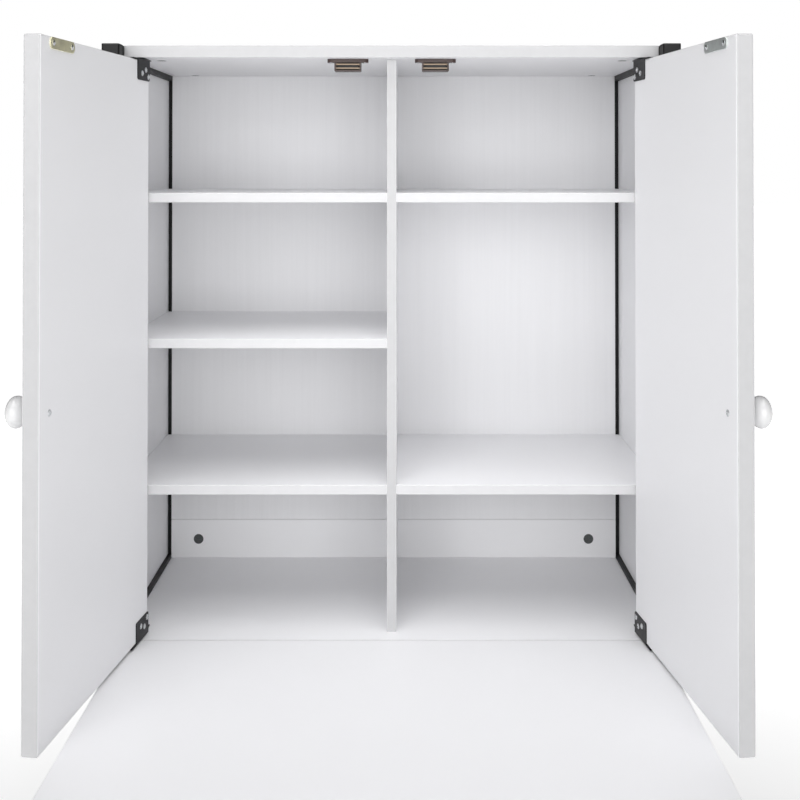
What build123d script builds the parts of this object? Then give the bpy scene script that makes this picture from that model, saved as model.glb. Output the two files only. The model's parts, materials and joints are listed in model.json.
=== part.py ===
from build123d import *
import math
import os

# Sewing table: a two-door cabinet between two black tube side frames, with a drop leaf in front.
# Each function builds one kind of piece, and the last section writes one STEP file per node.

os.makedirs("parts", exist_ok=True)

# ---------------------------------------------------------------------------------------------
# Driving dimensions, in millimetres. X is to the right, Y to the back and Z up.
# Pieces are laid out with Y = 0 at the front edge of the cabinet's boards and Z = 0 at the table
# surface, and save() moves them to the part's own origin.
# ---------------------------------------------------------------------------------------------
TABLE_HEIGHT = 745.0        # floor to table surface
INNER_WIDTH = 668.0         # between the side frames
CABINET_HEIGHT = 724.0      # table surface to the underside of the top panel
CABINET_DEPTH = 313.0       # front edge of the boards to the back panel
LEAF_DEPTH = 560.0          # drop leaf, front to back

# boards
TOP_THICKNESS = 15.0
TABLE_THICKNESS = 18.0      # bottom panel and drop leaf
SHELF_THICKNESS = 12.0      # shelves and centre divider
SIDE_THICKNESS = 12.0
BACK_THICKNESS = 5.0
DOOR_THICKNESS = 18.0
SHELF_BEHIND_DOOR = 7.0     # shelf and divider fronts, behind a shut door
LOWER_BAY = 172.7           # clear height under each of the three shelves
BOARD_EDGE = 0.6            # edge radius of fixed boards
BACK_RAIL_HEIGHT = 57.0
BACK_RAIL_THICKNESS = 12.0
BACK_SEAM = 0.3             # back panel over the back rail

# steel tube frame
TUBE = 22.0
TUBE_WALL = 1.5
TUBE_CORNER = 2.5
POST_FRONT = -27.0          # front face of the front posts
SIDE_RECESS = 6.0           # side panel behind the inner face of the frame
MID_RAIL_RISE = 4.0         # mid rail above the table surface
BASE_REACH = 420.0          # base rail in front of the cabinet's front edge
FRONT_BAR_Y = 62.0          # front face of the front crossbar
LOWER_BAR_Z = 150.0         # lower crossbar above the floor
TIE_BAR_HEIGHT = 30.0
TIE_BAR_THICKNESS = 3.0
CAP_THICKNESS = 1.5
CAP_EDGE = 0.9              # edge radius of tube caps
PLUG_DEPTH = 12.0
PLUG_WALL = 2.0
PLUG_PLAY = 0.6             # plug narrower than the tube's bore
GLIDE_HEIGHT = 8.0
GLIDE_RADIUS = 9.5
GLIDE_EDGE = 2.0
GLIDE_STUD = 3.0

# doors
DOOR_OPEN = 96.7            # opening angle at rest, degrees
DOOR_TOP_GAP = 4.0
DOOR_BOTTOM_GAP = 3.0
DOOR_SIDE_GAP = 2.5
DOOR_MEET_GAP = 3.0         # between the two doors when shut
DOOR_EDGE = 2.0             # edge radius of doors
PIVOT_INSET = 16.0          # hinge pivot from the inner face of the frame
KNOB_FROM_EDGE = 25.0
KNOB_BELOW_MIDDLE = 23.0
KNOB_RADIUS = 16.5
KNOB_LENGTH = 27.0
KNOB_NECK = 6.5
KNOB_RIM = 0.58             # widest part, as a share of the knob's length
KNOB_FOOT = 8.5
KNOB_FOOT_HEIGHT = 1.5
KNOB_NECK_Z = 3.8           # narrowest part of the neck
KNOB_THROAT = 8.0           # radius where the neck flares out
KNOB_THROAT_Z = 6.4
KNOB_UNDER_RADIUS = 13.9    # a point on the cap's underside
KNOB_UNDER_Z = 9.9
KNOB_ROUND = 0.71           # point on a quarter turn, as a share of its radius
KNOB_BORE_DEPTH = 14.0

# door pivot hinges
PLATE = 1.2                 # thickness of hinge steel
HINGE_PLATE_WIDTH = 44.0
HINGE_PLATE_HEIGHT = 25.0
HINGE_TAB_LENGTH = 60.0     # tab folded over the end of the door
HINGE_TAB_DEPTH = 14.0
HINGE_PLATE_CORNER = 3.0
HINGE_TAB_CORNER = 4.0
HINGE_SCREWS = ((6.2, 19.5), (15.8, 11.5), (29.0, 16.5))  # from the plate's edge and the door's end
HINGE_ARM_LENGTH = 46.0
HINGE_ARM_WIDTH = 16.0
HINGE_ARM_ROUND = 7.5
ARM_SCREW_STEPS = (18.0, 31.0)  # behind the pivot
PIVOT_RADIUS = 2.5
PIVOT_HEAD_RADIUS = 4.5
PIVOT_HEAD_HEIGHT = 1.5
PIVOT_COLLAR_RADIUS = 5.0
COLLAR_PLAY = 0.15          # between the collar and the door's tab

# magnetic catches and strike plates
CATCH_X = 55.5              # catch centre from the cabinet's middle
CATCH_FLANGE_WIDTH = 52.0
CATCH_FLANGE_HEIGHT = 4.6
CATCH_BODY_WIDTH = 34.0
CATCH_HEIGHT = 16.0
CATCH_DEPTH = 14.0
CATCH_WALL = 1.8
CATCH_FLANGE_SETBACK = 2.0  # flange's rear in front of the body's rear
CATCH_FLANGE_CORNER = 5.0
CATCH_BODY_CORNER = 1.5
POLE_PLATE = 1.5
POLE_PLATE_PLAY = 0.3
MAGNET_HEIGHT = 3.4
MAGNET_SETBACK = 1.6
MAGNET_END_PLAY = 2.0
STRIKE_LENGTH = 62.0
STRIKE_HEIGHT = 12.0
STRIKE_THICKNESS = 1.4
STRIKE_CORNER = 3.2
STRIKE_SCREW_SPAN = 48.0
STRIKE_GAP = 0.3            # strike to catch when shut
STRIKE_BELOW_TOP = 0.6
STRIKE_HOLE = (6.6, 3.6)    # length and width of the oval holes

# board fittings
CAM_RADIUS = 7.5
CAM_COVER = 2.5             # board left over a cam's pocket
CAM_SINK = 0.8
CAM_FROM_END = 36.0
CAM_FRONT_Y = 50.0
CAM_REAR_INSET = 11.0       # rear cams, in front of the back panel
CAM_SLOT = (11.25, 1.6, 1.5)  # length, width and depth of the driver slots
BOLT_RADIUS = 3.0
BOLT_HEAD_RADIUS = 6.5
BOLT_HEAD_HEIGHT = 2.4
BOLT_HEAD_EDGE = 1.4
BOLT_SOCKET = 2.3
BOLT_SOCKET_DEPTH = 1.6
BACK_BOLT_X = 293.0
BACK_BOLT_Z = 28.0
BACK_BOLT_HEAD = 7.3
BACK_BOLT_SINK = 1.6
BACK_BOLT_CROSS = (4.4, 0.9, 1.1)  # half length, half width and depth of the cross
DOWEL_RADIUS = 3.0
DOWEL_DEPTH = 10.0          # dowel in each end
SIDE_DOWEL_DEPTH = 8.0      # dowel in a side panel
DOWEL_INSET = 38.0          # dowels from the front and back of a shelf
DOWEL_STOP = 2.0            # board left beyond the middle shelf's dowels

# drop leaf hinges and stays
LEAF_SIDE_GAP = 4.0
LEAF_SEAM = 1.5
LEAF_EDGE = 1.0
LEAF_FRONT_CORNER = 12.0
LEAF_HINGE_X = 235.0        # outer leaf hinges from the middle
LEAF_HINGE_LENGTH = 65.0
LEAF_FLAP = 1.5
LEAF_FLAP_WIDTH = 26.0
LEAF_FLAP_CORNER = 3.0
LEAF_FLAP_SCREW_Y = 16.5    # screws from the hinge's axis
LEAF_FLAP_SCREW_STEPS = (-23.0, 0.0, 23.0)
KNUCKLE_RADIUS = 3.0
LEAF_PIN_RADIUS = 1.5
KNUCKLES = 5
KNUCKLE_PLAY = 0.3
STAY_RADIUS = 190.0         # both stay pins from the leaf's hinge axis
STAY_PIN_DROP = 20.0        # leaf pin below the hinge axis
STAY_BACK_ANGLE = 16.0      # rear pin behind the hinge axis, degrees from straight down
STAY_WIDTH = 22.0
STAY_THICKNESS = 3.0
STAY_PIN = 4.0
STAY_HEAD = 7.0
STAY_HEAD_HEIGHT = 3.0
STAY_PLAY = 0.3
STAY_NOTCH = 4.0            # depth of the locking notch over the slot's end
STAY_FROM_FRAME = 5.0       # arm's outer face from the frame
STAY_TAIL = 9.0             # arm beyond the end of its slot
STAY_CAP_HEIGHT = 1.5
STAY_CAP = 6.0
LEAF_PIN_HEAD_HEIGHT = 2.0
GUIDE_HEAD_EDGE = 1.0
BRACKET_LENGTH = 50.0
BRACKET_FOOT = 22.0
BRACKET_BELOW_PIN = 9.0
BRACKET_CORNER = 8.0
BRACKET_SCREW_Y = 15.0      # screws from the pin

# screws: head radius, head height, shank radius, length
PLATE_SCREW = (3.4, 1.5, 1.6, 12.0)
ARM_SCREW = (3.4, 0.4, 1.6, 12.0)
STRIKE_SCREW = (3.0, 1.2, 1.5, 12.0)
CATCH_SCREW = (2.8, 1.1, 1.4, 10.0)
LEAF_SCREW = (3.4, 1.3, 1.7, 12.0)
KNOB_SCREW = (3.6, 1.6, 2.0, 30.0)
HEAD_RIM = 0.35             # straight rim, as a share of the head's height
HEAD_DOME = (0.62, 0.86)    # a point on the dome, as shares of the head's radius and height
CROSS = (1.15, 0.24)        # length and width of the cross, as shares of the head's radius
TIP_LENGTH = 1.6            # tip, as a multiple of the shank's radius
TIP_END = 0.15              # tip's blunt end, as a share of the shank's radius

FIT = 0.05                  # radial clearance of pins and screws in their holes
CUT = 1.0                   # how far a cutter reaches past a face

# ---------------------------------------------------------------------------------------------
# Places that follow from the driving dimensions
# ---------------------------------------------------------------------------------------------
HALF = INNER_WIDTH / 2
SHELF_SETBACK = DOOR_THICKNESS + SHELF_BEHIND_DOOR
TOP = CABINET_HEIGHT + TOP_THICKNESS
BACK = CABINET_DEPTH
POST_REAR = BACK + BACK_THICKNESS
FRAME_REAR = POST_REAR + TUBE
RAIL_START = POST_FRONT + TUBE
FLOOR = -TABLE_HEIGHT
BASE_TOP = FLOOR + GLIDE_HEIGHT + TUBE
MID_RAIL_TOP = MID_RAIL_RISE
BAR_TOP = min(-TABLE_THICKNESS, MID_RAIL_RISE - TUBE)
SIDE_FACE = HALF + SIDE_RECESS
HINGE_Y = -LEAF_SEAM / 2
HINGE_Z = -TABLE_THICKNESS - KNUCKLE_RADIUS
LEAF_FRONT = -LEAF_SEAM - LEAF_DEPTH
ORIGIN_Y = (LEAF_FRONT + FRAME_REAR) / 2
SHELF_BOTTOMS = [LOWER_BAY + i * (LOWER_BAY + SHELF_THICKNESS) for i in range(3)]
DOOR_BOTTOM = DOOR_BOTTOM_GAP
DOOR_TOP = CABINET_HEIGHT - DOOR_TOP_GAP
PIVOT_X = -HALF + PIVOT_INSET
PIVOT_Y = DOOR_THICKNESS / 2
DOOR_HINGE_EDGE = -HALF + DOOR_SIDE_GAP
DOOR_FREE_EDGE = -DOOR_MEET_GAP / 2
CATCH_FRONT = DOOR_THICKNESS + STRIKE_THICKNESS + STRIKE_GAP
STAY_TILT = math.degrees(math.asin(STAY_PIN_DROP / STAY_RADIUS))
STAY_OPEN_ANGLE = 90.0 + STAY_BACK_ANGLE - STAY_TILT
STAY_MIN = 2 * STAY_RADIUS * math.sin(math.radians(STAY_BACK_ANGLE - STAY_TILT) / 2)
STAY_MAX = 2 * STAY_RADIUS * math.sin(math.radians(STAY_OPEN_ANGLE) / 2)
LEAF_PIN_Y = HINGE_Y - STAY_RADIUS * math.cos(math.radians(STAY_TILT))
LEAF_PIN_Z = HINGE_Z - STAY_PIN_DROP
REAR_PIN_Y = HINGE_Y + STAY_RADIUS * math.sin(math.radians(STAY_BACK_ANGLE))
REAR_PIN_Z = HINGE_Z - STAY_RADIUS * math.cos(math.radians(STAY_BACK_ANGLE))
STAY_OUT = HALF - STAY_FROM_FRAME
STAY_IN = STAY_OUT - STAY_THICKNESS
DOWEL_YS = (SHELF_SETBACK + DOWEL_INSET, BACK - DOWEL_INSET)
CAM_YS = (CAM_FRONT_Y, BACK - CAM_REAR_INSET)
SIDES = (-1, 1)


# ---------------------------------------------------------------------------------------------
# Helpers
# ---------------------------------------------------------------------------------------------
def block(x0, x1, y0, y1, z0, z1):
    """A box between two corners."""
    centre = Pos((x0 + x1) / 2, (y0 + y1) / 2, (z0 + z1) / 2)
    return centre * Box(abs(x1 - x0), abs(y1 - y0), abs(z1 - z0))


def board(x0, x1, y0, y1, z0, z1, radius=BOARD_EDGE):
    """A panel with softened edges."""
    body = block(x0, x1, y0, y1, z0, z1)
    return fillet(body.edges(), radius)


def rod(start, end, radius):
    """A round bar from one point to another."""
    start = Vector(*start)
    end = Vector(*end)
    length = (end - start).length
    place = Plane(origin=start, z_dir=end - start).location
    return place * Cylinder(radius, length, align=(Align.CENTER, Align.CENTER, Align.MIN))


def aim(shape, point, direction):
    """Put a shape made along +Z at a point, with +Z turned to a direction."""
    return Plane(origin=point, z_dir=direction).location * shape


def tube(start, direction, length):
    """A hollow square tube from a point on its centre line."""
    outer = RectangleRounded(TUBE, TUBE, TUBE_CORNER)
    bore = TUBE - 2 * TUBE_WALL
    inner = RectangleRounded(bore, bore, TUBE_CORNER - TUBE_WALL)
    across = (0, 0, 1) if direction[2] == 0 else (1, 0, 0)
    place = Plane(origin=start, x_dir=across, z_dir=direction)
    return extrude(place * (outer - inner), amount=length)


def screw(size):
    """A domed cross-head screw: the head stands on Z = 0 and the shank points down."""
    head_r, head_h, shank_r, length = size
    rim = head_h * HEAD_RIM
    profile = Polyline((0, 0), (head_r, 0), (head_r, rim))
    crown = (head_r * HEAD_DOME[0], head_h * HEAD_DOME[1])
    dome = ThreePointArc((head_r, rim), crown, (0, head_h))
    axis = Line((0, head_h), (0, 0))
    head = revolve(Plane.XZ * make_face([profile, dome, axis]), Axis.Z)
    tip = shank_r * TIP_LENGTH
    shank = Pos(0, 0, -(length - tip)) * Cylinder(
        shank_r, length - tip, align=(Align.CENTER, Align.CENTER, Align.MIN))
    point = Pos(0, 0, -length) * Cone(
        shank_r * TIP_END, shank_r, tip, align=(Align.CENTER, Align.CENTER, Align.MIN))
    slot = Box(head_r * CROSS[0], head_r * CROSS[1], head_h)
    cross = Pos(0, 0, head_h) * (slot + Rot(0, 0, 90) * slot)
    return head + shank + point - cross


def screw_hole(size):
    """The cutter for a screw's shank, on the same axes as screw()."""
    reach = size[3] + FIT
    return Pos(0, 0, -reach) * Cylinder(
        size[2] + FIT, reach + CUT, align=(Align.CENTER, Align.CENTER, Align.MIN))


def group(pieces):
    """Separate solids that share one node."""
    solids = []
    for piece in pieces:
        solids.extend(piece.solids())
    return Compound(solids)


def cut_all(body, cutters):
    """Take every cutter out of a body."""
    for cutter in cutters:
        body -= cutter
    return body


def save(name, shape):
    """Move a shape to the part's origin and write its STEP file."""
    placed = shape.moved(Location((0, -ORIGIN_Y, TABLE_HEIGHT)))
    export_step(placed, f"parts/{name}.step")


# ---------------------------------------------------------------------------------------------
# Side frames, crossbars, caps and glides
# ---------------------------------------------------------------------------------------------
def side_frame(side):
    """One welded side frame: two posts, four rails."""
    x = side * (HALF + TUBE / 2)
    half = TUBE / 2
    post_top = TOP - CAP_THICKNESS
    rails = []
    for y in (POST_FRONT + half, POST_REAR + half):
        rails.append(tube((x, y, BASE_TOP), (0, 0, 1), post_top - BASE_TOP))
    span = POST_REAR - RAIL_START
    for z in (TOP - half, MID_RAIL_TOP - half, REAR_PIN_Z):
        rails.append(tube((x, RAIL_START, z), (0, 1, 0), span))
    base_start = -BASE_REACH + CAP_THICKNESS
    base_length = FRAME_REAR - CAP_THICKNESS - base_start
    base_z = BASE_TOP - half
    rails.append(tube((x, base_start, base_z), (0, 1, 0), base_length))
    holes = [rod((side * (HALF - CUT), y, z), (side * (HALF + TUBE + CUT), y, z), BOLT_RADIUS + FIT)
             for y, z in cam_bolt_places()]
    stud_reach = GLIDE_HEIGHT + TUBE_WALL + CUT
    holes += [rod((x, y, FLOOR), (x, y, FLOOR + stud_reach), GLIDE_STUD + FIT) for y in glide_ys()]
    pin_reach = TUBE_WALL + CUT
    holes.append(rod((side * (HALF - CUT), REAR_PIN_Y, REAR_PIN_Z),
                     (side * (HALF + pin_reach), REAR_PIN_Y, REAR_PIN_Z), STAY_PIN + FIT))
    return group([cut_all(rail, holes) for rail in rails])


def cam_bolt_places():
    """Y and Z of the bolts that hold the top and bottom panels to each side frame."""
    levels = (CABINET_HEIGHT + TOP_THICKNESS / 2, -TABLE_THICKNESS / 2)
    return [(y, z) for z in levels for y in CAM_YS]


def glide_ys():
    """Y of the glides under each base rail."""
    return (-BASE_REACH + TUBE, FRAME_REAR - TUBE)


def crossbar(y, top, reach):
    """A square tube across the table, reaching the same distance to both sides."""
    return tube((-reach, y + TUBE / 2, top - TUBE / 2), (1, 0, 0), 2 * reach)


def rear_tie_bar():
    """Flat bar behind the back rail, tapped for the back rail's bolts."""
    y0 = BACK + BACK_RAIL_THICKNESS
    z0 = BACK_BOLT_Z - TIE_BAR_HEIGHT / 2
    bar = block(-HALF, HALF, y0, y0 + TIE_BAR_THICKNESS, z0, z0 + TIE_BAR_HEIGHT)
    return cut_all(bar, back_bolts(FIT))


def tube_cap(point, direction):
    """A plastic plug that closes a tube's end, with a thin rounded rim."""
    rim = extrude(RectangleRounded(TUBE, TUBE, TUBE_CORNER), amount=CAP_THICKNESS)
    rim = fillet(rim.faces().sort_by(Axis.Z)[-1].edges(), CAP_EDGE)
    bore = TUBE - 2 * TUBE_WALL - PLUG_PLAY
    plug = extrude(RectangleRounded(bore, bore, TUBE_CORNER - TUBE_WALL), amount=-PLUG_DEPTH)
    inside = bore - 2 * PLUG_WALL
    hollow = Box(inside, inside, 2 * (PLUG_DEPTH - PLUG_WALL))
    plug -= Pos(0, 0, -PLUG_DEPTH) * hollow
    across = (0, 0, 1) if direction[2] == 0 else (1, 0, 0)
    place = Plane(origin=point, x_dir=across, z_dir=direction)
    return place.location * (rim + plug)


def post_caps():
    """Caps on the four posts."""
    half = TUBE / 2
    ys = (POST_FRONT + half, POST_REAR + half)
    top = TOP - CAP_THICKNESS
    return group([tube_cap((s * (HALF + half), y, top), (0, 0, 1)) for s in SIDES for y in ys])


def base_rail_caps():
    """Caps on both ends of the base rails."""
    half = TUBE / 2
    z = BASE_TOP - half
    ends = ((-BASE_REACH + CAP_THICKNESS, -1), (FRAME_REAR - CAP_THICKNESS, 1))
    return group([tube_cap((s * (HALF + half), y, z), (0, way, 0)) for s in SIDES for y, way in ends])


def foot_glides():
    """Round screw-in glides under the base rails."""
    glides = []
    for side in SIDES:
        x = side * (HALF + TUBE / 2)
        for y in glide_ys():
            disc = rod((x, y, FLOOR), (x, y, FLOOR + GLIDE_HEIGHT), GLIDE_RADIUS)
            disc = fillet(disc.faces().sort_by(Axis.Z)[0].edges(), GLIDE_EDGE)
            disc_top = FLOOR + GLIDE_HEIGHT
            stud = rod((x, y, disc_top - CUT), (x, y, disc_top + TUBE_WALL), GLIDE_STUD)
            glides.append(disc + stud)
    return group(glides)


# ---------------------------------------------------------------------------------------------
# Cabinet boards and their fittings
# ---------------------------------------------------------------------------------------------
def cam_places(level):
    """Centres of the four cams in a panel whose drilled face is at a level."""
    return [(s * (HALF - CAM_FROM_END), y, level) for s in SIDES for y in CAM_YS]


def cam_height(thickness):
    """Height of the cams in a panel of a thickness."""
    return thickness - CAM_COVER - CAM_SINK


def cam_lock(thickness):
    """A round cam lock for a panel of a thickness, with its slotted face at Z = 0."""
    height = cam_height(thickness)
    body = Cylinder(CAM_RADIUS - FIT, height, align=(Align.CENTER, Align.CENTER, Align.MIN))
    bore = Rot(0, 90, 0) * Cylinder(BOLT_RADIUS + FIT, 2 * CAM_RADIUS + CUT)
    slot = Box(CAM_SLOT[0], CAM_SLOT[1], 2 * CAM_SLOT[2])
    return body - Pos(0, 0, thickness / 2 - CAM_SINK) * bore - slot - Rot(0, 0, 90) * slot


def drilled_panels():
    """Level of the drilled face and thickness of the two panels that the cams hold."""
    return ((CABINET_HEIGHT, TOP_THICKNESS), (-TABLE_THICKNESS, TABLE_THICKNESS))


def cam_locks():
    """Cams in the top panel's and the bottom panel's undersides."""
    locks = []
    for level, thickness in drilled_panels():
        for x, y, z in cam_places(level):
            locks.append(Pos(x, y, z + CAM_SINK) * cam_lock(thickness))
    return group(locks)


def cam_bolts(extra=0.0):
    """Bolts through the side frames into the cams; extra widens them to make cutters."""
    bolts = []
    for side in SIDES:
        outside = side * (HALF + TUBE)
        inside = side * (HALF - CAM_FROM_END)
        for y, z in cam_bolt_places():
            shank = rod((outside, y, z), (inside, y, z), BOLT_RADIUS + extra)
            if extra:
                bolts.append(shank)
                continue
            head = Cylinder(BOLT_HEAD_RADIUS, BOLT_HEAD_HEIGHT,
                            align=(Align.CENTER, Align.CENTER, Align.MIN))
            head = fillet(head.faces().sort_by(Axis.Z)[-1].edges(), BOLT_HEAD_EDGE)
            hexagon = extrude(RegularPolygon(BOLT_SOCKET, 6), amount=-BOLT_SOCKET_DEPTH)
            socket = Pos(0, 0, BOLT_HEAD_HEIGHT) * hexagon
            bolts.append(shank + aim(head - socket, (outside, y, z), (side, 0, 0)))
    return bolts


def panel_cutters(level, thickness):
    """Cam pockets and bolt bores of a panel whose drilled face is at a level."""
    depth = thickness - CAM_COVER
    pockets = [rod((x, y, z - CUT), (x, y, z + depth), CAM_RADIUS) for x, y, z in cam_places(level)]
    return pockets + cam_bolts(FIT)


def top_panel():
    """Top panel between the side frames."""
    body = board(-HALF, HALF, 0, FRAME_REAR, CABINET_HEIGHT, TOP)
    cutters = panel_cutters(CABINET_HEIGHT, TOP_THICKNESS) + dowels(FIT)
    return cut_all(body, cutters + catch_screws(True) + arm_screws(True))


def bottom_panel():
    """Bottom panel, level with the drop leaf."""
    body = board(-HALF, HALF, 0, FRAME_REAR, -TABLE_THICKNESS, 0)
    cutters = panel_cutters(-TABLE_THICKNESS, TABLE_THICKNESS) + dowels(FIT)
    return cut_all(body, cutters + arm_screws(True) + flap_screws(1, True))


def side_panel(side):
    """Side panel inside one side frame."""
    x0 = side * SIDE_FACE
    x1 = side * (SIDE_FACE + SIDE_THICKNESS)
    low, high = min(x0, x1), max(x0, x1)
    body = board(low, high, RAIL_START, POST_REAR, MID_RAIL_TOP, TOP - TUBE)
    return cut_all(body, dowels(FIT))


def back_panel():
    """Thin back panel above the back rail."""
    return board(-HALF, HALF, BACK, POST_REAR, BACK_RAIL_HEIGHT + BACK_SEAM, CABINET_HEIGHT)


def back_bolts(extra=0.0):
    """Bolts through the back rail; extra widens them to make cutters."""
    bolts = []
    for side in SIDES:
        x = side * BACK_BOLT_X
        end = BACK + BACK_RAIL_THICKNESS + TIE_BAR_THICKNESS
        face = BACK + (0 if not extra else -CUT)
        seat = BACK + BACK_BOLT_SINK + extra
        head = rod((x, face, BACK_BOLT_Z), (x, seat, BACK_BOLT_Z), BACK_BOLT_HEAD + extra)
        shank = rod((x, BACK, BACK_BOLT_Z), (x, end + extra, BACK_BOLT_Z), BOLT_RADIUS + extra)
        bolt = head + shank
        if not extra:
            reach, half, depth = BACK_BOLT_CROSS
            slot = block(-reach, reach, BACK - CUT, BACK + depth, -half, half)
            turned = block(-half, half, BACK - CUT, BACK + depth, -reach, reach)
            bolt -= Pos(x, 0, BACK_BOLT_Z) * (slot + turned)
        bolts.append(bolt)
    return bolts


def back_rail():
    """Rail along the bottom of the back."""
    body = board(-HALF, HALF, BACK, BACK + BACK_RAIL_THICKNESS, 0, BACK_RAIL_HEIGHT)
    return cut_all(body, back_bolts(FIT))


def center_divider():
    """Upright board between the two bays."""
    half = SHELF_THICKNESS / 2
    body = board(-half, half, SHELF_SETBACK, BACK, 0, CABINET_HEIGHT)
    return cut_all(body, dowels(FIT))


def shelf(side, level):
    """One shelf, from the divider to a side panel."""
    x0 = side * SHELF_THICKNESS / 2
    x1 = side * SIDE_FACE
    z0 = SHELF_BOTTOMS[level]
    body = board(min(x0, x1), max(x0, x1), SHELF_SETBACK, BACK, z0, z0 + SHELF_THICKNESS)
    return cut_all(body, dowels(FIT))


def dowels(extra=0.0):
    """Wooden dowels in the shelf ends and the divider; extra widens them to make cutters."""
    radius = DOWEL_RADIUS + extra
    half = SHELF_THICKNESS / 2
    pegs = []
    for y in DOWEL_YS:
        for level, bottom in enumerate(SHELF_BOTTOMS):
            z = bottom + half
            sides = (-1,) if level == 1 else SIDES
            for side in sides:
                reach = SIDE_FACE + SIDE_DOWEL_DEPTH + extra
                start = SIDE_FACE - DOWEL_DEPTH - extra
                pegs.append(rod((side * start, y, z), (side * reach, y, z), radius))
            right = half + DOWEL_DEPTH if level != 1 else half - DOWEL_STOP
            pegs.append(rod((-half - DOWEL_DEPTH - extra, y, z), (right + extra, y, z), radius))
        for z in (0, CABINET_HEIGHT):
            pegs.append(rod((0, y, z - DOWEL_DEPTH - extra), (0, y, z + DOWEL_DEPTH + extra), radius))
    return pegs


# ---------------------------------------------------------------------------------------------
# Magnetic catches
# ---------------------------------------------------------------------------------------------
def catch_housing(side):
    """Plastic housing of one catch, with a pocket for its plates and magnet."""
    x = side * CATCH_X
    half_flange = CATCH_FLANGE_WIDTH / 2
    half_body = CATCH_BODY_WIDTH / 2
    low = CABINET_HEIGHT - CATCH_HEIGHT
    flange_low = CABINET_HEIGHT - CATCH_FLANGE_HEIGHT
    rear = CATCH_FRONT + CATCH_DEPTH
    flange_rear = rear - CATCH_FLANGE_SETBACK
    flange = block(x - half_flange, x + half_flange, CATCH_FRONT, flange_rear, flange_low, CABINET_HEIGHT)
    flange = fillet(flange.edges().filter_by(Axis.Z), CATCH_FLANGE_CORNER)
    body = block(x - half_body, x + half_body, CATCH_FRONT, rear, low, flange_low + CUT)
    body = fillet(body.edges().filter_by(Axis.Y).sort_by(Axis.Z)[:2], CATCH_BODY_CORNER)
    housing = flange + body
    wall = CATCH_WALL
    pocket = block(x - half_body + wall, x + half_body - wall, CATCH_FRONT - CUT, rear - wall,
                   low + wall, flange_low)
    return cut_all(housing - pocket, catch_screws(True))


def pole_plates(side):
    """The two steel plates of one catch."""
    x = side * CATCH_X
    half = CATCH_BODY_WIDTH / 2 - CATCH_WALL - POLE_PLATE_PLAY
    rear = CATCH_FRONT + CATCH_DEPTH - CATCH_WALL
    plates = []
    for z in pole_plate_bottoms():
        plates.append(block(x - half, x + half, CATCH_FRONT, rear, z, z + POLE_PLATE))
    return plates


def pole_plate_bottoms():
    """Lower faces of the two plates, one each side of the magnet."""
    low = CABINET_HEIGHT - CATCH_HEIGHT + CATCH_WALL
    high = CABINET_HEIGHT - CATCH_FLANGE_HEIGHT
    middle = (low + high) / 2
    return (middle - MAGNET_HEIGHT / 2 - POLE_PLATE, middle + MAGNET_HEIGHT / 2)


def magnet(side):
    """Ceramic magnet between the plates."""
    x = side * CATCH_X
    half = CATCH_BODY_WIDTH / 2 - CATCH_WALL - MAGNET_END_PLAY
    z = pole_plate_bottoms()[0] + POLE_PLATE
    rear = CATCH_FRONT + CATCH_DEPTH - CATCH_WALL
    return block(x - half, x + half, CATCH_FRONT + MAGNET_SETBACK, rear, z, z + MAGNET_HEIGHT)


def catch_screws(cutters=False):
    """Screws up through the catch flanges, or the cutters for them."""
    shape = screw_hole(CATCH_SCREW) if cutters else screw(CATCH_SCREW)
    z = CABINET_HEIGHT - CATCH_FLANGE_HEIGHT
    y = CATCH_FRONT + (CATCH_DEPTH - CATCH_FLANGE_SETBACK) / 2
    offset = (CATCH_FLANGE_WIDTH + CATCH_BODY_WIDTH) / 4
    places = [(s * CATCH_X + t * offset, y, z) for s in SIDES for t in SIDES]
    return [aim(shape, place, (0, 0, -1)) for place in places]


# ---------------------------------------------------------------------------------------------
# Doors, built shut as the left one and then turned or mirrored into place
# ---------------------------------------------------------------------------------------------
def open_left(shape):
    """Turn a piece of the shut left door to its rest position."""
    return Pos(PIVOT_X, PIVOT_Y, 0) * Rot(0, 0, -DOOR_OPEN) * Pos(-PIVOT_X, -PIVOT_Y, 0) * shape


def place_door(shape, side):
    """Put a piece of the shut left door on either door, at rest."""
    opened = open_left(shape)
    return opened if side < 0 else mirror(opened, about=Plane.YZ)


def door_panel():
    """One door board with its screw holes and hinge recesses."""
    body = board(DOOR_HINGE_EDGE, DOOR_FREE_EDGE, 0, DOOR_THICKNESS, DOOR_BOTTOM, DOOR_TOP, DOOR_EDGE)
    cutters = knob_screw(True) + strike_screws(True) + door_hinge_screws(True)
    depth = PLATE + PIVOT_HEAD_HEIGHT + 2 * CUT
    for end, way in ((DOOR_TOP, -1), (DOOR_BOTTOM, 1)):
        start = (PIVOT_X, PIVOT_Y, end - way * CUT)
        cutters.append(rod(start, (PIVOT_X, PIVOT_Y, end + way * depth), PIVOT_HEAD_RADIUS + CUT))
    return cut_all(body, cutters)


def knob_place():
    """Centre of the knob on the door's outer face."""
    x = DOOR_FREE_EDGE - KNOB_FROM_EDGE
    z = (DOOR_BOTTOM + DOOR_TOP) / 2 - KNOB_BELOW_MIDDLE
    return x, z


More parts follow.
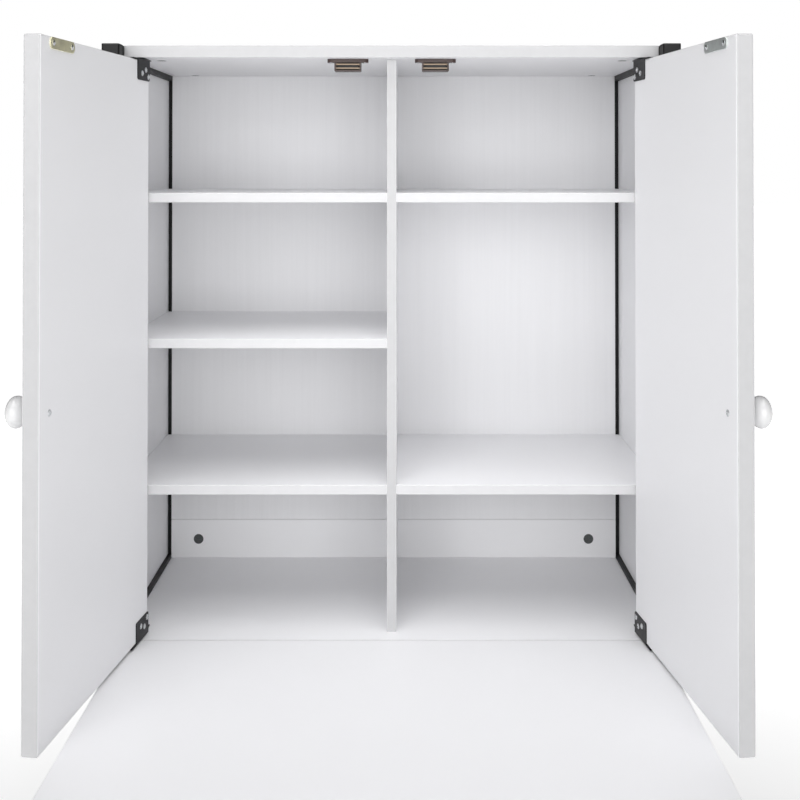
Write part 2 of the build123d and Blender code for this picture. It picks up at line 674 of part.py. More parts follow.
def knob():
    """A turned mushroom knob with a foot, a neck and a domed cap."""
    r = KNOB_RADIUS
    length = KNOB_LENGTH
    rim = KNOB_LENGTH * KNOB_RIM
    throat = (KNOB_THROAT, KNOB_THROAT_Z)
    shoulder = (r * KNOB_ROUND, rim + (length - rim) * KNOB_ROUND)
    foot = Polyline((0, 0), (KNOB_FOOT, 0), (KNOB_FOOT, KNOB_FOOT_HEIGHT))
    neck = ThreePointArc((KNOB_FOOT, KNOB_FOOT_HEIGHT), (KNOB_NECK, KNOB_NECK_Z), throat)
    flare = ThreePointArc(throat, (KNOB_UNDER_RADIUS, KNOB_UNDER_Z), (r, rim))
    crown = Spline((r, rim), shoulder, (0, length), tangents=[(0, 1), (-1, 0)])
    axis = Line((0, length), (0, 0))
    body = revolve(Plane.XZ * make_face([foot, neck, flare, crown, axis]), Axis.Z)
    bore = Pos(0, 0, -CUT) * Cylinder(KNOB_SCREW[2] + FIT, KNOB_BORE_DEPTH + CUT,
                                      align=(Align.CENTER, Align.CENTER, Align.MIN))
    x, z = knob_place()
    return aim(body - bore, (x, 0, z), (0, -1, 0))


def knob_screw(cutters=False):
    """Screw from the door's inner face into the knob, or its cutter."""
    shape = screw_hole(KNOB_SCREW) if cutters else screw(KNOB_SCREW)
    x, z = knob_place()
    return [aim(shape, (x, DOOR_THICKNESS, z), (0, 1, 0))]


def strike_centre():
    """X and Z of the strike plate on the shut left door."""
    return -CATCH_X, DOOR_TOP - STRIKE_BELOW_TOP - STRIKE_HEIGHT / 2


def strike_plate():
    """Steel strike with clipped corners and two oval holes."""
    x, z = strike_centre()
    half_l = STRIKE_LENGTH / 2
    half_h = STRIKE_HEIGHT / 2
    clip = STRIKE_CORNER
    outline = Polyline((-half_l + clip, -half_h), (half_l - clip, -half_h), (half_l, -half_h + clip),
                       (half_l, half_h - clip), (half_l - clip, half_h), (-half_l + clip, half_h),
                       (-half_l, half_h - clip), (-half_l, -half_h + clip), close=True)
    face = make_face(outline)
    oval = SlotOverall(*STRIKE_HOLE)
    for side in SIDES:
        face -= Pos(side * STRIKE_SCREW_SPAN / 2, 0) * oval
    plate = extrude(face, amount=STRIKE_THICKNESS)
    place = Plane(origin=(x, DOOR_THICKNESS, z), x_dir=(1, 0, 0), z_dir=(0, 1, 0))
    return place.location * plate


def strike_screws(cutters=False):
    """Screws of the strike plate, or their cutters."""
    shape = screw_hole(STRIKE_SCREW) if cutters else screw(STRIKE_SCREW)
    x, z = strike_centre()
    face = DOOR_THICKNESS + STRIKE_THICKNESS
    places = [(x + s * STRIKE_SCREW_SPAN / 2, face, z) for s in SIDES]
    return [aim(shape, place, (0, 1, 0)) for place in places]


def hinge_plate(end, way):
    """Door half of a pivot hinge: a screwed plate and a tab over the door's end."""
    x0 = DOOR_HINGE_EDGE
    inner = DOOR_THICKNESS
    z1 = end + way * HINGE_PLATE_HEIGHT
    plate = block(x0, x0 + HINGE_PLATE_WIDTH, inner, inner + PLATE, min(end, z1), max(end, z1))
    corners = plate.edges().filter_by(Axis.Y)
    far = corners.sort_by(Axis.Z)[:2] if way < 0 else corners.sort_by(Axis.Z)[-2:]
    plate = fillet(far, HINGE_PLATE_CORNER)
    tab_z = end - way * PLATE
    tab = block(x0, x0 + HINGE_TAB_LENGTH, inner - HINGE_TAB_DEPTH, inner + PLATE,
                min(end, tab_z), max(end, tab_z))
    front = tab.edges().filter_by(Axis.Z).sort_by(Axis.Y)[:2]
    tab = fillet(front, HINGE_TAB_CORNER)
    reach = 2 * CUT
    hole = rod((PIVOT_X, PIVOT_Y, end - reach), (PIVOT_X, PIVOT_Y, end + reach), PIVOT_RADIUS + FIT)
    return cut_all(plate + tab, [hole] + door_hinge_screws(True))


def door_hinge_screws(cutters=False):
    """Three screws through each hinge plate, or their cutters."""
    shape = screw_hole(PLATE_SCREW) if cutters else screw(PLATE_SCREW)
    face = DOOR_THICKNESS + PLATE
    x0 = DOOR_HINGE_EDGE
    places = []
    for end, way in ((DOOR_TOP, -1), (DOOR_BOTTOM, 1)):
        for along, away in HINGE_SCREWS:
            places.append((x0 + along, face, end + way * away))
    return [aim(shape, place, (0, 1, 0)) for place in places]


def arm_ends():
    """Face of each panel that carries a hinge arm, the way into the gap, and the door's end."""
    return ((CABINET_HEIGHT, -1, DOOR_TOP), (0.0, 1, DOOR_BOTTOM))


def hinge_arms():
    """Cabinet halves of the pivot hinges, screwed to the top and bottom panels."""
    arms = []
    half = HINGE_ARM_WIDTH / 2
    for face, way, _ in arm_ends():
        other = face + way * PLATE
        y0 = PIVOT_Y - half
        y1 = y0 + HINGE_ARM_LENGTH
        arm = block(PIVOT_X - half, PIVOT_X + half, y0, y1, min(face, other), max(face, other))
        arm = fillet(arm.edges().filter_by(Axis.Z).sort_by(Axis.Y)[:2], HINGE_ARM_ROUND)
        reach = 2 * CUT
        hole = rod((PIVOT_X, PIVOT_Y, face - reach), (PIVOT_X, PIVOT_Y, face + reach), PIVOT_RADIUS + FIT)
        arm = cut_all(arm, [hole] + arm_screws(True))
        arms += [arm, mirror(arm, about=Plane.YZ)]
    return arms


def arm_screws(cutters=False):
    """Two low-headed screws through each hinge arm, or their cutters."""
    shape = screw_hole(ARM_SCREW) if cutters else screw(ARM_SCREW)
    screws = []
    for face, way, _ in arm_ends():
        for step in ARM_SCREW_STEPS:
            for side in SIDES:
                place = (side * PIVOT_X, PIVOT_Y + step, face + way * PLATE)
                screws.append(aim(shape, place, (0, 0, way)))
    return screws


def hinge_pins():
    """Stepped pivot pins of the door hinges."""
    pins = []
    for face, way, end in arm_ends():
        head_start = end + way * CUT
        head_end = head_start + way * PIVOT_HEAD_HEIGHT
        collar_start = face + way * PLATE
        collar_end = end - way * (PLATE + COLLAR_PLAY)
        spans = ((face, head_end, PIVOT_RADIUS), (head_start, head_end, PIVOT_HEAD_RADIUS),
                 (collar_start, collar_end, PIVOT_COLLAR_RADIUS))
        steps = [rod((PIVOT_X, PIVOT_Y, z0), (PIVOT_X, PIVOT_Y, z1), radius) for z0, z1, radius in spans]
        pin = steps[0] + steps[1] + steps[2]
        pins += [pin, mirror(pin, about=Plane.YZ)]
    return pins


# ---------------------------------------------------------------------------------------------
# Drop leaf, its hinges and its stays
# ---------------------------------------------------------------------------------------------
def table_leaf():
    """Drop leaf, level with the bottom panel."""
    reach = HALF - LEAF_SIDE_GAP
    body = block(-reach, reach, LEAF_FRONT, -LEAF_SEAM, -TABLE_THICKNESS, 0)
    body = fillet(body.edges().filter_by(Axis.Z).sort_by(Axis.Y)[:2], LEAF_FRONT_CORNER)
    body = fillet(body.faces().sort_by(Axis.Z)[-1].edges(), LEAF_EDGE)
    body = fillet(body.faces().sort_by(Axis.Z)[0].edges(), LEAF_EDGE)
    return cut_all(body, flap_screws(-1, True) + bracket_screws(True))


def leaf_hinge_xs():
    """X of the leaf's three hinges."""
    return (-LEAF_HINGE_X, 0.0, LEAF_HINGE_X)


def knuckle_spans(moving):
    """Start and end of each knuckle of one hinge half, from the hinge's middle."""
    pitch = LEAF_HINGE_LENGTH / KNUCKLES
    start = -LEAF_HINGE_LENGTH / 2
    picks = range(1, KNUCKLES, 2) if moving else range(0, KNUCKLES, 2)
    half_play = KNUCKLE_PLAY / 2
    return [(start + i * pitch + half_play, start + (i + 1) * pitch - half_play) for i in picks]


def hinge_flap(x, way):
    """One hinge half: way is 1 for the fixed half behind the seam and -1 for the leaf's half."""
    half = LEAF_HINGE_LENGTH / 2
    top = -TABLE_THICKNESS
    near = HINGE_Y + way * (KNUCKLE_RADIUS + KNUCKLE_PLAY)
    far = HINGE_Y + way * (KNUCKLE_RADIUS + LEAF_FLAP_WIDTH)
    flap = block(x - half, x + half, min(near, far), max(near, far), top - LEAF_FLAP, top)
    corners = flap.edges().filter_by(Axis.Z).sort_by(Axis.Y)
    flap = fillet(corners[-2:] if way > 0 else corners[:2], LEAF_FLAP_CORNER)
    for x0, x1 in knuckle_spans(way < 0):
        ring = rod((x + x0, HINGE_Y, HINGE_Z), (x + x1, HINGE_Y, HINGE_Z), KNUCKLE_RADIUS)
        bridge = block(x + x0, x + x1, HINGE_Y, near + way * CUT, top - LEAF_FLAP, top)
        flap += ring + bridge
    reach = half + CUT
    bore = rod((x - reach, HINGE_Y, HINGE_Z), (x + reach, HINGE_Y, HINGE_Z), LEAF_PIN_RADIUS + FIT)
    return cut_all(flap - bore, flap_screws(way, True))


def leaf_hinge_pins():
    """Pins of the leaf's hinges."""
    half = LEAF_HINGE_LENGTH / 2
    spans = [((x - half, HINGE_Y, HINGE_Z), (x + half, HINGE_Y, HINGE_Z)) for x in leaf_hinge_xs()]
    return [rod(start, end, LEAF_PIN_RADIUS) for start, end in spans]


def flap_screws(way, cutters=False):
    """Three screws in each hinge half on one side of the seam, or their cutters."""
    shape = screw_hole(LEAF_SCREW) if cutters else screw(LEAF_SCREW)
    y = HINGE_Y + way * LEAF_FLAP_SCREW_Y
    z = -TABLE_THICKNESS - LEAF_FLAP
    places = [(x + step, y, z) for x in leaf_hinge_xs() for step in LEAF_FLAP_SCREW_STEPS]
    return [aim(shape, place, (0, 0, -1)) for place in places]


def stay_bracket(side):
    """Angle bracket under the leaf that carries a stay's upper pin."""
    web_out = STAY_IN - STAY_PLAY
    web_in = web_out - STAY_THICKNESS
    y0 = LEAF_PIN_Y - BRACKET_LENGTH / 2
    y1 = y0 + BRACKET_LENGTH
    under = -TABLE_THICKNESS
    foot = block(web_out - BRACKET_FOOT, web_out, y0, y1, under - STAY_THICKNESS, under)
    web = block(web_in, web_out, y0, y1, LEAF_PIN_Z - BRACKET_BELOW_PIN, under)
    web = fillet(web.edges().filter_by(Axis.X).sort_by(Axis.Z)[:2], BRACKET_CORNER)
    hole_end = (web_out + CUT, LEAF_PIN_Y, LEAF_PIN_Z)
    hole = rod((web_in - CUT, LEAF_PIN_Y, LEAF_PIN_Z), hole_end, STAY_PIN + FIT)
    bracket = foot + web - hole
    if side < 0:
        bracket = mirror(bracket, about=Plane.YZ)
    return cut_all(bracket, bracket_screws(True))


def bracket_screws(cutters=False):
    """Two screws up through each stay bracket's foot, or their cutters."""
    shape = screw_hole(LEAF_SCREW) if cutters else screw(LEAF_SCREW)
    x = STAY_IN - STAY_PLAY - STAY_THICKNESS - (BRACKET_FOOT - STAY_THICKNESS) / 2
    z = -TABLE_THICKNESS - STAY_THICKNESS
    places = [(s * x, LEAF_PIN_Y + t * BRACKET_SCREW_Y, z) for s in SIDES for t in SIDES]
    return [aim(shape, place, (0, 0, -1)) for place in places]


def stay_arm(side):
    """Slotted stay, from the leaf's pin to the frame's pin, with a notch over the slot's far end."""
    reach = STAY_MAX + STAY_PIN + STAY_TAIL
    half = STAY_WIDTH / 2
    outline = Pos(reach / 2 - half, 0) * SlotOverall(reach + half, STAY_WIDTH)
    slot_r = STAY_PIN + STAY_PLAY
    slot_length = STAY_MAX - STAY_MIN + 2 * slot_r
    slot = Pos((STAY_MAX + STAY_MIN) / 2, 0) * SlotOverall(slot_length, 2 * slot_r)
    notch = Pos(STAY_MAX, STAY_NOTCH / 2) * Rectangle(2 * slot_r, STAY_NOTCH)
    notch += Pos(STAY_MAX, STAY_NOTCH) * Circle(slot_r)
    face = outline - Circle(STAY_PIN + FIT) - slot - notch
    arm = extrude(face, amount=STAY_THICKNESS)
    along = (0, REAR_PIN_Y - LEAF_PIN_Y, REAR_PIN_Z - LEAF_PIN_Z)
    place = Plane(origin=(STAY_IN, LEAF_PIN_Y, LEAF_PIN_Z), x_dir=along, z_dir=(1, 0, 0))
    arm = place.location * arm
    return arm if side > 0 else mirror(arm, about=Plane.YZ)


def leaf_pin(side):
    """Pin that joins a stay to its bracket, held in the bracket."""
    web_in = STAY_IN - STAY_PLAY - STAY_THICKNESS
    y, z = LEAF_PIN_Y, LEAF_PIN_Z
    cap_start = STAY_OUT + STAY_PLAY
    head = rod((web_in - LEAF_PIN_HEAD_HEIGHT, y, z), (web_in, y, z), STAY_HEAD)
    shank = rod((web_in - CUT, y, z), (cap_start, y, z), STAY_PIN)
    cap = rod((cap_start, y, z), (cap_start + STAY_CAP_HEIGHT, y, z), STAY_CAP)
    pin = head + shank + cap
    return pin if side > 0 else mirror(pin, about=Plane.YZ)


def guide_pin(side):
    """Shouldered pin on the frame that the stay's slot runs over."""
    y, z = REAR_PIN_Y, REAR_PIN_Z
    inner = STAY_IN - STAY_PLAY
    shank = rod((inner, y, z), (HALF + TUBE_WALL, y, z), STAY_PIN)
    shoulder = rod((STAY_OUT + STAY_PLAY, y, z), (HALF, y, z), STAY_HEAD)
    head = rod((inner - STAY_HEAD_HEIGHT, y, z), (inner, y, z), STAY_HEAD)
    head = fillet(head.faces().sort_by(Axis.X)[0].edges(), GUIDE_HEAD_EDGE)
    pin = shank + shoulder + head
    return pin if side > 0 else mirror(pin, about=Plane.YZ)


# ---------------------------------------------------------------------------------------------
# Write the nodes
# ---------------------------------------------------------------------------------------------
SIDE_NAMES = {-1: "left", 1: "right"}
SHELF_NAMES = {0: "lower", 1: "middle", 2: "upper"}

for s, word in SIDE_NAMES.items():
    save(f"{word}_side_frame", side_frame(s))
    save(f"{word}_side_panel", side_panel(s))
    for level, place in SHELF_NAMES.items():
        if s < 0 or level != 1:
            save(f"{word}_{place}_shelf", shelf(s, level))
    save(f"{word}_door", place_door(door_panel(), s))
    save(f"{word}_knob", place_door(knob(), s))
    save(f"{word}_knob_screw", place_door(group(knob_screw()), s))
    plates = group([hinge_plate(DOOR_TOP, -1), hinge_plate(DOOR_BOTTOM, 1)])
    save(f"{word}_hinge_plates", place_door(plates, s))
    save(f"{word}_hinge_screws", place_door(group(door_hinge_screws()), s))
    save(f"{word}_strike_plate", place_door(strike_plate(), s))
    save(f"{word}_strike_screws", place_door(group(strike_screws()), s))
    save(f"{word}_stay_arm", stay_arm(s))

save("front_crossbar", crossbar(FRONT_BAR_Y, BAR_TOP, HALF + TUBE))
save("rear_crossbar", crossbar(POST_REAR, BAR_TOP, HALF))
save("lower_crossbar", crossbar(POST_REAR, FLOOR + LOWER_BAR_Z, HALF))
save("rear_tie_bar", rear_tie_bar())
save("post_caps", post_caps())
save("base_rail_caps", base_rail_caps())
save("foot_glides", foot_glides())

save("top_panel", top_panel())
save("bottom_panel", bottom_panel())
save("back_panel", back_panel())
save("back_rail", back_rail())
save("back_rail_bolts", group(back_bolts()))
save("center_divider", center_divider())
save("dowels", group(dowels()))
save("cam_locks", cam_locks())
save("cam_bolts", group(cam_bolts()))

save("catch_housings", group([catch_housing(s) for s in SIDES]))
save("catch_pole_plates", group([p for s in SIDES for p in pole_plates(s)]))
save("catch_magnets", group([magnet(s) for s in SIDES]))
save("catch_screws", group(catch_screws()))

save("door_hinge_arms", group(hinge_arms()))
save("door_hinge_pins", group(hinge_pins()))
save("door_hinge_arm_screws", group(arm_screws()))

save("table_leaf", table_leaf())
save("leaf_hinge_fixed_flaps", group([hinge_flap(x, 1) for x in leaf_hinge_xs()]))
save("leaf_hinge_moving_flaps", group([hinge_flap(x, -1) for x in leaf_hinge_xs()]))
save("leaf_hinge_pins", group(leaf_hinge_pins()))
save("leaf_hinge_fixed_screws", group(flap_screws(1)))
save("leaf_hinge_moving_screws", group(flap_screws(-1)))
save("stay_brackets", group([stay_bracket(s) for s in SIDES]))
save("stay_bracket_screws", group(bracket_screws()))
save("stay_leaf_pins", group([leaf_pin(s) for s in SIDES]))
save("stay_guide_pins", group([guide_pin(s) for s in SIDES]))
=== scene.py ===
import json
import math
import bpy
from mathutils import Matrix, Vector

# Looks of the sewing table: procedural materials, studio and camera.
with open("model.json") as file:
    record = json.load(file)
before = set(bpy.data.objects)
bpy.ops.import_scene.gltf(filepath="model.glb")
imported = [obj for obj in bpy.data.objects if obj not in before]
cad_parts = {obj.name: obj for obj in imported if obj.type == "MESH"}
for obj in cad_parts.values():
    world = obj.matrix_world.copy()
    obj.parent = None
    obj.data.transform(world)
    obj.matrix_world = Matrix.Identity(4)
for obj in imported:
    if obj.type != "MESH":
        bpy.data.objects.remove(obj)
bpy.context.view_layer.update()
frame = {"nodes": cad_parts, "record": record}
nodes = frame["nodes"]
scene = bpy.context.scene

# Camera, in metres in the part's own frame
CAMERA_PLACE = (0.01517, -1.38599, 1.33194)
CAMERA_PITCH = 90.72        # degrees from straight down
CAMERA_LENS = 53.96         # millimetres
CAMERA_SENSOR = 36.0
CAMERA_SHIFT = (-0.0045, -0.310)


# ---------------------------------------------------------------------------------------------
# Materials
# ---------------------------------------------------------------------------------------------
class Material:
    """A node material built round one Principled shader."""

    def __init__(self, name, **sockets):
        self.material = bpy.data.materials.new(name)
        self.material.use_nodes = True
        self.tree = self.material.node_tree
        self.shader = self.tree.nodes["Principled BSDF"]
        for socket, value in sockets.items():
            self.shader.inputs[socket.replace("_", " ")].default_value = value
        self.coords = self.tree.nodes.new("ShaderNodeTexCoord")
        self.height = None

    def node(self, kind, **values):
        """A new node; values are set on its inputs by name."""
        made = self.tree.nodes.new(kind)
        for key, value in values.items():
            made.inputs[key.replace("_", " ")].default_value = value
        return made

    def link(self, source, target):
        """Join two sockets."""
        self.tree.links.new(source, target)

    def noise(self, scale, stretch=(1, 1, 1), detail=3.0, roughness=0.55):
        """Noise in object space, stretched along the axes."""
        mapping = self.node("ShaderNodeMapping")
        mapping.inputs["Scale"].default_value = stretch
        self.link(self.coords.outputs["Object"], mapping.inputs["Vector"])
        texture = self.node("ShaderNodeTexNoise", Scale=scale, Detail=detail, Roughness=roughness)
        self.link(mapping.outputs["Vector"], texture.inputs["Vector"])
        return texture.outputs["Fac"]

    def ramp(self, fac, stops):
        """A colour ramp over a factor between two stops of (position, colour)."""
        made = self.node("ShaderNodeValToRGB")
        for element, (place, colour) in zip(made.color_ramp.elements, stops):
            element.position = place
            element.color = (*colour, 1)
        self.link(fac, made.inputs["Fac"])
        return made.outputs["Color"]

    def spread(self, fac, low, high):
        """A factor between 0.3 and 0.7 mapped to a range."""
        made = self.node("ShaderNodeMapRange")
        made.inputs["From Min"].default_value = 0.3
        made.inputs["From Max"].default_value = 0.7
        made.inputs["To Min"].default_value = low
        made.inputs["To Max"].default_value = high
        self.link(fac, made.inputs["Value"])
        return made.outputs["Result"]

    def mix(self, fac, first, second):
        """Two colours mixed by a factor."""
        made = self.node("ShaderNodeMix")
        made.data_type = "RGBA"
        self.link(fac, made.inputs["Factor"])
        self.link(first, made.inputs[6])
        self.link(second, made.inputs[7])
        return made.outputs[2]

    def colour(self, source):
        """Use a socket as the base colour."""
        self.link(source, self.shader.inputs["Base Color"])

    def rough(self, fac, low, high):
        """Vary the roughness between two values."""
        self.link(self.spread(fac, low, high), self.shader.inputs["Roughness"])

    def bump(self, fac, depth, strength=1.0):
        """Add a bump of a depth in metres over any earlier one."""
        made = self.node("ShaderNodeBump", Strength=strength, Distance=depth)
        self.link(fac, made.inputs["Height"])
        if self.height is not None:
            self.link(self.height, made.inputs["Normal"])
        self.height = made.outputs["Normal"]
        self.link(self.height, self.shader.inputs["Normal"])


def near(colour, change):
    """A colour made lighter or darker by a share."""
    return tuple(min(1.0, c * (1 + change)) for c in colour)


def edge_band_and_shade(made, face, axes, colour, shade_tone):
    """Mix in the darker edge band where a board's own surface faces along one of the axes: partly
    the band's own duller tone, partly painted shade that dims edges the lamps light too brightly.
    """
    split = made.node("ShaderNodeSeparateXYZ")
    made.link(made.coords.outputs["Normal"], split.inputs["Vector"])
    for axis in axes:
        size = made.node("ShaderNodeMath")
        size.operation = "ABSOLUTE"
        made.link(split.outputs[axis], size.inputs[0])
        cut = made.node("ShaderNodeMapRange")
        cut.inputs["From Min"].default_value = 0.55
        cut.inputs["From Max"].default_value = 0.85
        made.link(size.outputs["Value"], cut.inputs["Value"])
        flow = made.noise(90.0, detail=3.0)
        # The band colour is the board colour darkened by the tone: part the band's own duller tone,
        # part painted shade on the edges.
        band_and_shade = made.ramp(flow, [(0.3, near(colour, shade_tone - 0.01)), (0.7, near(colour, shade_tone + 0.01))])
        face = made.mix(cut.outputs["Result"], face, band_and_shade)
    return face


def melamine(name, colour, low, high, grain=0.0, texture=7e-6, band_and_shade_axes="", shade_tone=-0.28):
    """White laminated board: faint mottling, fine pore texture, a soft sheen and a darker edge band
    that is partly painted shade.
    """
    made = Material(name, Specular_IOR_Level=0.42)
    clouds = made.noise(2.6, detail=4.0)
    fine = made.noise(240.0, detail=2.0)
    soft = made.ramp(clouds, [(0.3, near(colour, -0.012)), (0.7, near(colour, 0.012))])
    if grain:
        streaks = made.noise(1.0, (170.0, 170.0, 3.2), detail=5.0, roughness=0.62)
        dark = made.ramp(clouds, [(0.3, near(colour, -grain)), (0.7, near(colour, -grain * 0.7))])
        soft = made.mix(made.spread(streaks, 0.0, 1.0), soft, dark)
        made.bump(streaks, texture * 2.5)
    made.colour(edge_band_and_shade(made, soft, band_and_shade_axes, colour, shade_tone))
    made.rough(fine, low, high)
    made.bump(fine, texture)
    made.bump(made.noise(14.0, detail=1.5), texture * 9, 0.5)
    return made.material


def painted_metal(name, colour, low, high, depth=9e-6):
    """Powder coat: a dark skin with orange peel and slightly uneven sheen."""
    made = Material(name, Specular_IOR_Level=0.28)
    peel = made.noise(900.0, detail=2.0)
    wear = made.noise(23.0, detail=4.0)
    made.colour(made.ramp(wear, [(0.32, near(colour, -0.15)), (0.68, near(colour, 0.25))]))
    made.rough(wear, low, high)
    made.bump(peel, depth)
    return made.material


def bare_metal(name, colour, low, high, brush=(1, 1, 1), depth=4e-6, change=0.12):
    """Plated or bare steel: uneven tint, fine scratches and a metallic sheen."""
    made = Material(name, Metallic=1.0)
    stain = made.noise(65.0, detail=5.0, roughness=0.6)
    scratch = made.noise(420.0, brush, detail=3.0)
    made.colour(made.ramp(stain, [(0.3, near(colour, -change)), (0.7, near(colour, change))]))
    made.rough(stain, low, high)
    made.bump(scratch, depth)
    return made.material


def moulded(name, colour, low, high, depth=6e-6, change=0.08):
    """Moulded plastic or ceramic with a fine spark-eroded texture."""
    made = Material(name, Specular_IOR_Level=0.48)
    flow = made.noise(38.0, detail=3.0)
    made.colour(made.ramp(flow, [(0.3, near(colour, -change)), (0.7, near(colour, change))]))
    made.rough(flow, low, high)
    made.bump(made.noise(1300.0, detail=2.0), depth)
    return made.material


def lacquer(name, colour):
    """Glossy white lacquer over turned wood."""
    made = Material(name, Specular_IOR_Level=0.5, Coat_Weight=0.35, Coat_Roughness=0.1)
    flow = made.noise(30.0, detail=3.0)
    made.colour(made.ramp(flow, [(0.3, near(colour, -0.015)), (0.7, near(colour, 0.01))]))
    made.rough(flow, 0.2, 0.28)
    made.bump(made.noise(90.0, detail=2.0), 1.2e-5)
    return made.material


def timber(name, colour):
    """Beech dowel with fine lengthwise grain."""
    made = Material(name, Specular_IOR_Level=0.3)
    grain = made.noise(1.0, (40.0, 600.0, 600.0), detail=5.0)
    made.colour(made.ramp(grain, [(0.3, near(colour, -0.22)), (0.7, near(colour, 0.08))]))
    made.rough(grain, 0.55, 0.7)
    made.bump(grain, 3e-5)
    return made.material


WHITE = (0.885, 0.885, 0.90)
LOOKS = {
    # The edge faces of these boards are darkened partly by the band's own tone and partly as painted
    # shade; the door edges get the deepest, at -0.48.
    "white_board": melamine("white_board", WHITE, 0.38, 0.48, band_and_shade_axes="Y"),
    "door_board": melamine("door_board", WHITE, 0.36, 0.46, texture=8e-6, band_and_shade_axes="YZ", shade_tone=-0.48),
    "leaf_board": melamine("leaf_board", WHITE, 0.34, 0.44, band_and_shade_axes="XY"),
    "back_hardboard": melamine("back_hardboard", near(WHITE, -0.03), 0.5, 0.62, 0.035, 9e-6),
    "black_powder_coat": painted_metal("black_powder_coat", (0.0045, 0.0045, 0.005), 0.42, 0.54),
    "black_plastic": moulded("black_plastic", (0.006, 0.006, 0.007), 0.45, 0.55),
    "black_hinge_steel": painted_metal("black_hinge_steel", (0.006, 0.006, 0.007), 0.38, 0.5, 5e-6),
    "white_knob": lacquer("white_knob", (0.62, 0.62, 0.625)),
    "brown_plastic": moulded("brown_plastic", (0.044, 0.024, 0.02), 0.34, 0.46),
    "magnet": moulded("magnet", (0.02, 0.019, 0.02), 0.6, 0.75, change=0.2),
    "pole_steel": bare_metal("pole_steel", (0.25, 0.195, 0.145), 0.42, 0.55),
    "yellow_zinc": bare_metal("yellow_zinc", (0.84, 0.81, 0.58), 0.42, 0.55, (1, 1, 12), change=0.1),
    "clear_zinc": bare_metal("clear_zinc", (0.72, 0.76, 0.74), 0.4, 0.52, (1, 1, 12), change=0.1),
    "screw_steel": bare_metal("screw_steel", (0.72, 0.73, 0.74), 0.22, 0.34),
    "plated_steel": bare_metal("plated_steel", (0.17, 0.18, 0.18), 0.34, 0.46),
    "beech": timber("beech", (0.62, 0.42, 0.24)),
}


def dress(obj, look):
    """Give an object one material all over."""
    obj.data.materials.clear()
    obj.data.materials.append(look)


for part in frame["record"]["subparts"]:
    dress(nodes[part["node"]], LOOKS[part["material_slot"]])
dress(nodes["back_rail"], melamine("back_rail_board", WHITE, 0.38, 0.48))
DARK_STEEL = bare_metal("dark_steel", (0.10, 0.105, 0.105), 0.36, 0.5)
for name in ("back_rail_bolts", "cam_locks"):
    dress(nodes[name], DARK_STEEL)
# The top panel and divider get darker edges, at -0.42, as painted shade over the band's own tone.
front_board_shaded_edges = melamine("front_board_shaded_edges", WHITE, 0.38, 0.48, band_and_shade_axes="Y", shade_tone=-0.42)
for name in ("top_panel", "center_divider"):
    dress(nodes[name], front_board_shaded_edges)


# ---------------------------------------------------------------------------------------------
# Studio: floor with a painted glow, soft lights and world
# ---------------------------------------------------------------------------------------------
FLOOR_REACH = 40.0
# The floor glows as painted light: its glow rises from dim near the table to full white with
# distance.
FLOOR_GLOW = {"From Min": 0.9, "From Max": 2.4, "To Min": 0.36, "To Max": 1.0}  # metres, then glow
WORLD_LIGHT = 0.03          # what the white backdrop lends to the table


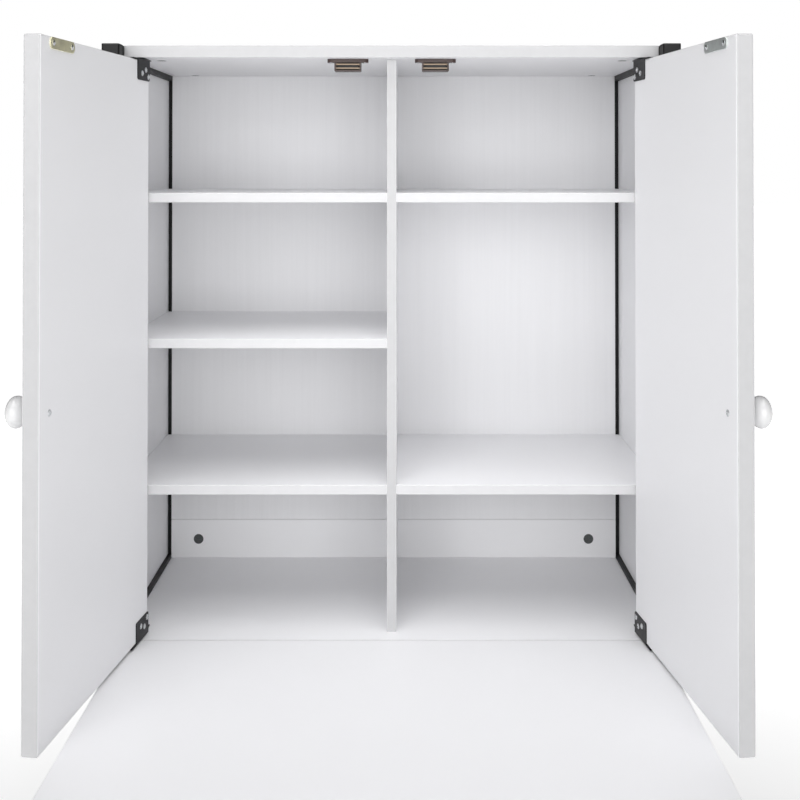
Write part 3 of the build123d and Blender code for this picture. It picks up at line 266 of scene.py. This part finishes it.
def floor():
    """A pale floor under and round the table, glowing as painted light: dimmer near the table, full
    white further out.
    """
    mesh = bpy.data.meshes.new("floor")
    corners = [(-FLOOR_REACH, -FLOOR_REACH, 0), (FLOOR_REACH, -FLOOR_REACH, 0),
               (FLOOR_REACH, FLOOR_REACH, 0), (-FLOOR_REACH, FLOOR_REACH, 0)]
    mesh.from_pydata(corners, [], [(0, 1, 2, 3)])
    made = bpy.data.objects.new("floor", mesh)
    scene.collection.objects.link(made)
    paper = Material("studio_floor_painted_glow", Specular_IOR_Level=0.2, Emission_Color=(1, 1, 1, 1))
    far = paper.node("ShaderNodeVectorMath")
    far.operation = "LENGTH"
    paper.link(paper.coords.outputs["Object"], far.inputs[0])
    glow = paper.node("ShaderNodeMapRange")
    for socket, value in FLOOR_GLOW.items():
        glow.inputs[socket].default_value = value
    paper.link(far.outputs["Value"], glow.inputs["Value"])
    # Painted glow: emission grows with distance from the table, so the floor fades into the white
    # backdrop.
    paper.link(glow.outputs["Result"], paper.shader.inputs["Emission Strength"])
    clouds = paper.noise(0.8, detail=3.0)
    paper.colour(paper.ramp(clouds, [(0.3, (0.92, 0.92, 0.925)), (0.7, (0.94, 0.94, 0.945))]))
    paper.rough(clouds, 0.75, 0.85)
    dress(made, paper.material)
    return made


floor()


# Name, place, target and size in metres, and power in watts
LIGHTS = (
    ("key", (-1.5, -3.0, 2.3), (0.0, 0.0, 1.0), (1.6, 1.6), 29.0),
    ("right", (1.5, -3.0, 2.0), (0.0, 0.0, 1.0), (1.6, 1.6), 10.4),
    ("front", (0.0, -3.4, 1.5), (0.0, 0.1, 1.1), (2.6, 1.8), 49.0),
    ("overhead", (0.0, -0.9, 3.4), (0.0, -0.3, 0.7), (2.6, 2.0), 50.0),
)


def area_light(name, place, target, size, power):
    """A soft rectangular light aimed at a point."""
    data = bpy.data.lights.new(name, "AREA")
    data.shape = "RECTANGLE"
    data.size, data.size_y = size
    data.energy = power
    made = bpy.data.objects.new(name, data)
    made.location = place
    made.rotation_euler = (Vector(target) - Vector(place)).to_track_quat("-Z", "Y").to_euler()
    scene.collection.objects.link(made)


for light in LIGHTS:
    area_light(*light)

# The backdrop is white behind the table, and lights it only a little
world = bpy.data.worlds.new("studio")
scene.world = world
world.use_nodes = True
sky = world.node_tree
backdrop = sky.nodes["Background"]
backdrop.inputs["Color"].default_value = (1.0, 1.0, 1.0, 1)
path = sky.nodes.new("ShaderNodeLightPath")
level = sky.nodes.new("ShaderNodeMapRange")
level.inputs["To Min"].default_value = WORLD_LIGHT
level.inputs["To Max"].default_value = 1.0
sky.links.new(path.outputs["Is Camera Ray"], level.inputs["Value"])
sky.links.new(level.outputs["Result"], backdrop.inputs["Strength"])

# ---------------------------------------------------------------------------------------------
# Camera
# ---------------------------------------------------------------------------------------------
camera_data = bpy.data.cameras.new("camera")
camera_data.lens = CAMERA_LENS
camera_data.sensor_width = CAMERA_SENSOR
camera_data.shift_x, camera_data.shift_y = CAMERA_SHIFT
camera = bpy.data.objects.new("camera", camera_data)
camera.location = CAMERA_PLACE
camera.rotation_euler = (math.radians(CAMERA_PITCH), 0, 0)
scene.collection.objects.link(camera)
scene.camera = camera
scene.view_settings.view_transform = "Standard"
